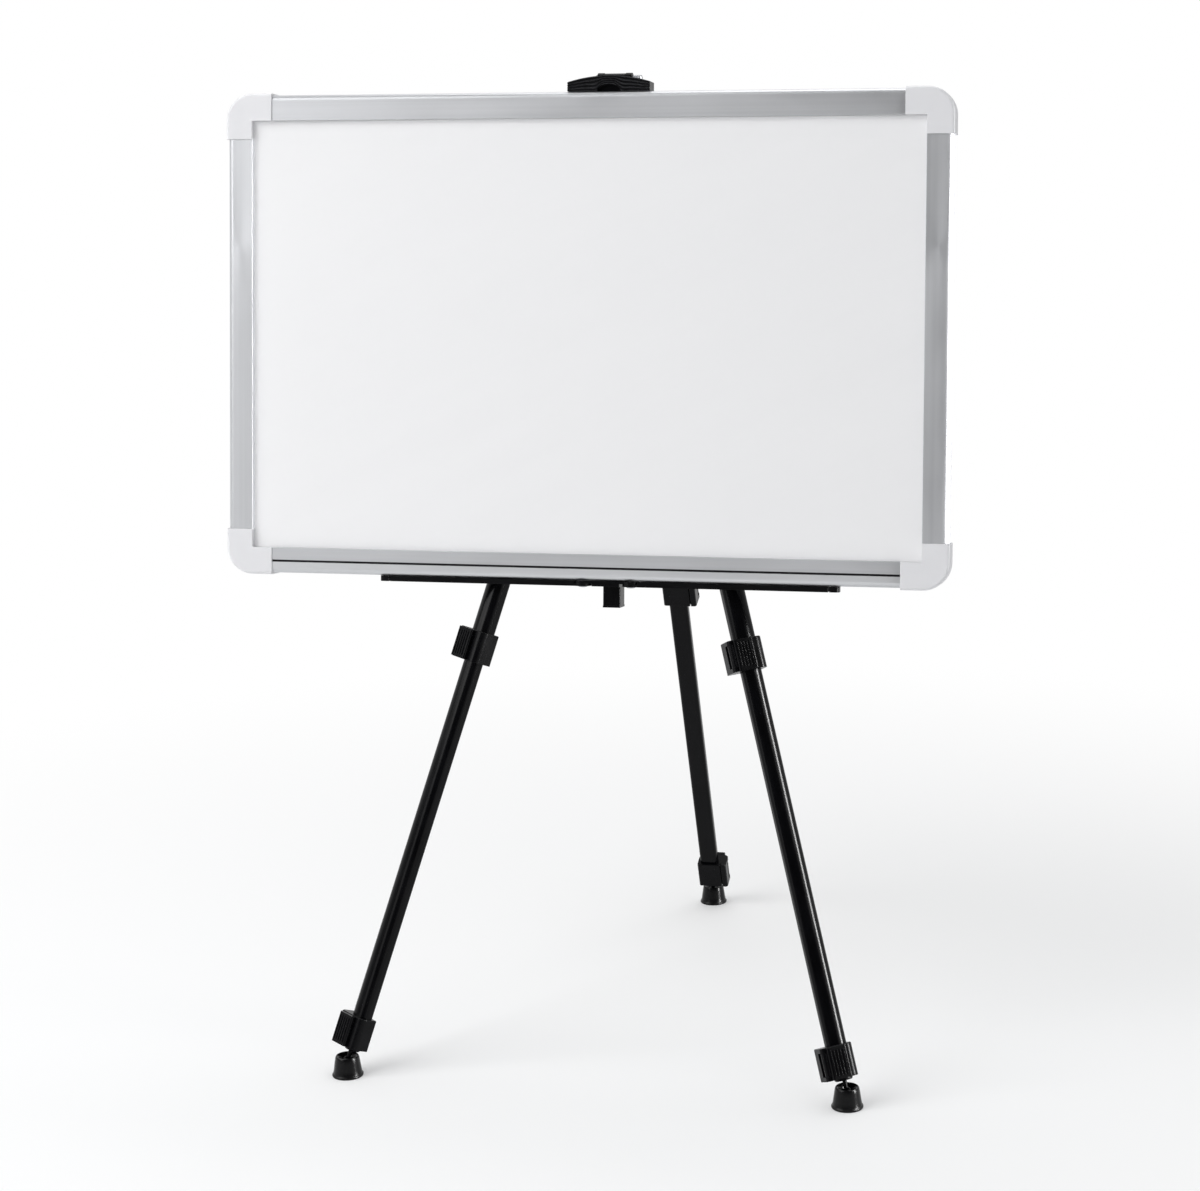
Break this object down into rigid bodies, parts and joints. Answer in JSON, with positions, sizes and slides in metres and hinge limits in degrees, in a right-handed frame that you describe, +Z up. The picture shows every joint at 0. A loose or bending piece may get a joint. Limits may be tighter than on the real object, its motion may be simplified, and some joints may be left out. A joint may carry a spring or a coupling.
{
  "type": "tripod whiteboard easel",
  "caption": "Framed whiteboard on a folding tripod easel with telescoping legs, flip locks, ball-jointed rubber feet, folding ledge arms and a top clamp.",
  "frame": {"origin": "on the floor, at the middle of the footprint's bounding box", "axes": "+X along the board to the viewer's right, +Y from the writing side to the rear foot, +Z up"},
  "size_m": [0.6028, 0.503, 0.8059],
  "materials": {
    "frame_aluminium": "satin anodised",
    "cap_plastic": "moulded, light satin",
    "writing_surface": "smooth lacquer",
    "board_core": "pressed fibre board",
    "zinc_steel": "zinc plated",
    "black_rubber": "smooth",
    "black_aluminium": "black, semi-gloss",
    "black_plastic": "fine moulded grain"
  },
  "bodies": {
    "tripod_head": {"tripod_head": "black_plastic", "leg_pins": "zinc_steel"},
    "mast": {"mast_tube": "black_aluminium", "mast_end_plug": "black_plastic", "mast_collar": "black_plastic", "tilt_bracket": "black_plastic", "tilt_bolt": "zinc_steel"},
    "mast_slider": {"slider_tube": "black_aluminium", "clamp_base": "black_plastic", "clamp_pin": "zinc_steel"},
    "clamp_wing": {"clamp_wing": "black_plastic"},
    "mast_knob": {"mast_knob": "black_plastic"},
    "ledge": {"ledge_carriage": "black_plastic", "arm_rivets": "zinc_steel"},
    "ledge_knob": {"ledge_knob": "black_plastic"},
    "ledge_arm_left": {"ledge_arm_left": "black_plastic", "ledge_tip_left": "black_plastic"},
    "ledge_arm_right": {"ledge_arm_right": "black_plastic", "ledge_tip_right": "black_plastic"},
    "board": {"writing_sheet": "writing_surface", "core_panel": "board_core", "rail_top": "frame_aluminium", "rail_bottom": "frame_aluminium", "rail_left": "frame_aluminium", "rail_right": "frame_aluminium", "corner_cap_lower_left": "cap_plastic", "corner_cap_lower_right": "cap_plastic", "corner_cap_upper_left": "cap_plastic", "corner_cap_upper_right": "cap_plastic", "cap_screws": "zinc_steel"},
    "left_leg_upper": {"left_upper_tube": "black_aluminium", "left_top_fitting": "black_plastic", "left_upper_lock": "black_plastic"},
    "left_leg_upper_lever": {"left_upper_lever": "black_plastic"},
    "left_leg_middle": {"left_middle_tube": "black_aluminium", "left_lower_lock": "black_plastic"},
    "left_leg_lower_lever": {"left_lower_lever": "black_plastic"},
    "left_leg_lower": {"left_lower_tube": "black_aluminium", "left_ball_stud": "black_plastic"},
    "left_foot": {"left_foot": "black_rubber"},
    "right_leg_upper": {"right_upper_tube": "black_aluminium", "right_top_fitting": "black_plastic", "right_upper_lock": "black_plastic"},
    "right_leg_upper_lever": {"right_upper_lever": "black_plastic"},
    "right_leg_middle": {"right_middle_tube": "black_aluminium", "right_lower_lock": "black_plastic"},
    "right_leg_lower_lever": {"right_lower_lever": "black_plastic"},
    "right_leg_lower": {"right_lower_tube": "black_aluminium", "right_ball_stud": "black_plastic"},
    "right_foot": {"right_foot": "black_rubber"},
    "rear_leg_upper": {"rear_upper_tube": "black_aluminium", "rear_top_fitting": "black_plastic", "rear_upper_lock": "black_plastic"},
    "rear_leg_upper_lever": {"rear_upper_lever": "black_plastic"},
    "rear_leg_middle": {"rear_middle_tube": "black_aluminium", "rear_lower_lock": "black_plastic"},
    "rear_leg_lower_lever": {"rear_lower_lever": "black_plastic"},
    "rear_leg_lower": {"rear_lower_tube": "black_aluminium", "rear_ball_stud": "black_plastic"},
    "rear_foot": {"rear_foot": "black_rubber"}
  },
  "joints": [
    {"name": "mast_tilt", "type": "hinge", "parent": "tripod_head", "child": "mast", "pos_m": [0.022, -0.07157, 0.66263], "axis": [-1, 0, 0], "range_deg": [0, 20]},
    {"name": "mast_slide", "type": "slide", "parent": "mast", "child": "mast_slider", "axis": [0, 0.1219, 0.9925], "range_m": [0, 0.085]},
    {"name": "clamp_wing_lift", "type": "hinge", "parent": "mast_slider", "child": "clamp_wing", "pos_m": [0.022, -0.08417, 0.80132], "axis": [-1, 0, 0], "range_deg": [0, 70]},
    {"name": "mast_knob_turn", "type": "hinge", "parent": "mast", "child": "mast_knob", "pos_m": [0.022, -0.08204, 0.71691], "axis": [0, 0.9925, -0.1219], "range_deg": [0, 270]},
    {"name": "ledge_slide", "type": "slide", "parent": "mast", "child": "ledge", "axis": [0, 0.1219, 0.9925], "range_m": [-0.015, 0]},
    {"name": "ledge_knob_turn", "type": "hinge", "parent": "ledge", "child": "ledge_knob", "pos_m": [0.022, -0.11659, 0.41086], "axis": [0, 0.9925, -0.1219], "range_deg": [0, 270]},
    {"name": "ledge_arm_left_swing", "type": "hinge", "parent": "ledge", "child": "ledge_arm_left", "pos_m": [0.002, -0.15255, 0.39865], "axis": [0, 0.1219, 0.9925], "range_deg": [0, 80]},
    {"name": "ledge_arm_right_swing", "type": "hinge", "parent": "ledge", "child": "ledge_arm_right", "pos_m": [0.042, -0.15255, 0.39865], "axis": [0, -0.1219, -0.9925], "range_deg": [0, 80]},
    {"name": "board_lift_off", "type": "slide", "parent": "ledge", "child": "board", "axis": [0, -0.9925, 0.1219], "range_m": [0, 0.08]},
    {"name": "left_leg_fold", "type": "hinge", "parent": "tripod_head", "child": "left_leg_upper", "pos_m": [-0.001, -0.05249, 0.66028], "axis": [0.7108, -0.7034, 0], "range_deg": [0, 21.9]},
    {"name": "left_upper_lever_flip", "type": "hinge", "parent": "left_leg_upper", "child": "left_leg_upper_lever", "pos_m": [-0.10627, -0.14076, 0.34409], "axis": [-0.263, -0.2658, -0.9274], "range_deg": [0, 110]},
    {"name": "left_lower_lever_flip", "type": "hinge", "parent": "left_leg_middle", "child": "left_leg_lower_lever", "pos_m": [-0.19151, -0.22812, 0.03792], "axis": [-0.263, -0.2658, -0.9274], "range_deg": [0, 110]},
    {"name": "left_middle_slide", "type": "slide", "parent": "left_leg_upper", "child": "left_leg_middle", "axis": [-0.263, -0.2658, -0.9274], "range_m": [-0.24, 0]},
    {"name": "left_lower_slide", "type": "slide", "parent": "left_leg_middle", "child": "left_leg_lower", "axis": [-0.263, -0.2658, -0.9274], "range_m": [0, 0.31]},
    {"name": "left_foot_tilt", "type": "hinge", "parent": "left_leg_lower", "child": "left_foot", "pos_m": [-0.18487, -0.2383, 0.012], "axis": [0.7108, -0.7034, 0], "range_deg": [-45, 12]},
    {"name": "right_leg_fold", "type": "hinge", "parent": "tripod_head", "child": "right_leg_upper", "pos_m": [0.045, -0.05249, 0.66028], "axis": [0.7108, 0.7034, 0], "range_deg": [0, 21.9]},
    {"name": "right_upper_lever_flip", "type": "hinge", "parent": "right_leg_upper", "child": "right_leg_upper_lever", "pos_m": [0.12679, -0.1566, 0.34197], "axis": [0.263, -0.2658, -0.9274], "range_deg": [0, 110]},
    {"name": "right_lower_lever_flip", "type": "hinge", "parent": "right_leg_middle", "child": "right_leg_lower_lever", "pos_m": [0.21385, -0.24273, 0.03597], "axis": [0.263, -0.2658, -0.9274], "range_deg": [0, 110]},
    {"name": "right_middle_slide", "type": "slide", "parent": "right_leg_upper", "child": "right_leg_middle", "axis": [0.263, -0.2658, -0.9274], "range_m": [-0.24, 0]},
    {"name": "right_lower_slide", "type": "slide", "parent": "right_leg_middle", "child": "right_leg_lower", "axis": [0.263, -0.2658, -0.9274], "range_m": [0, 0.31]},
    {"name": "right_foot_tilt", "type": "hinge", "parent": "right_leg_lower", "child": "right_foot", "pos_m": [0.22887, -0.2383, 0.012], "axis": [0.7108, 0.7034, 0], "range_deg": [-45, 12]},
    {"name": "rear_leg_fold", "type": "hinge", "parent": "tripod_head", "child": "rear_leg_upper", "pos_m": [0.022, -0.02269, 0.66028], "axis": [-1, 0, 0], "range_deg": [0, 21.9]},
    {"name": "rear_upper_lever_flip", "type": "hinge", "parent": "rear_leg_upper", "child": "rear_leg_upper_lever", "pos_m": [0.0362, 0.11157, 0.34308], "axis": [0, 0.374, -0.9274], "range_deg": [0, 110]},
    {"name": "rear_lower_lever_flip", "type": "hinge", "parent": "rear_leg_middle", "child": "rear_leg_lower_lever", "pos_m": [0.0351, 0.23381, 0.03698], "axis": [0, 0.374, -0.9274], "range_deg": [0, 110]},
    {"name": "rear_middle_slide", "type": "slide", "parent": "rear_leg_upper", "child": "rear_leg_middle", "axis": [0, 0.374, -0.9274], "range_m": [-0.24, 0]},
    {"name": "rear_lower_slide", "type": "slide", "parent": "rear_leg_middle", "child": "rear_leg_lower", "axis": [0, 0.374, -0.9274], "range_m": [0, 0.31]},
    {"name": "rear_foot_tilt", "type": "hinge", "parent": "rear_leg_lower", "child": "rear_foot", "pos_m": [0.022, 0.23871, 0.012], "axis": [-1, 0, 0], "range_deg": [-45, 12]}
  ]
}
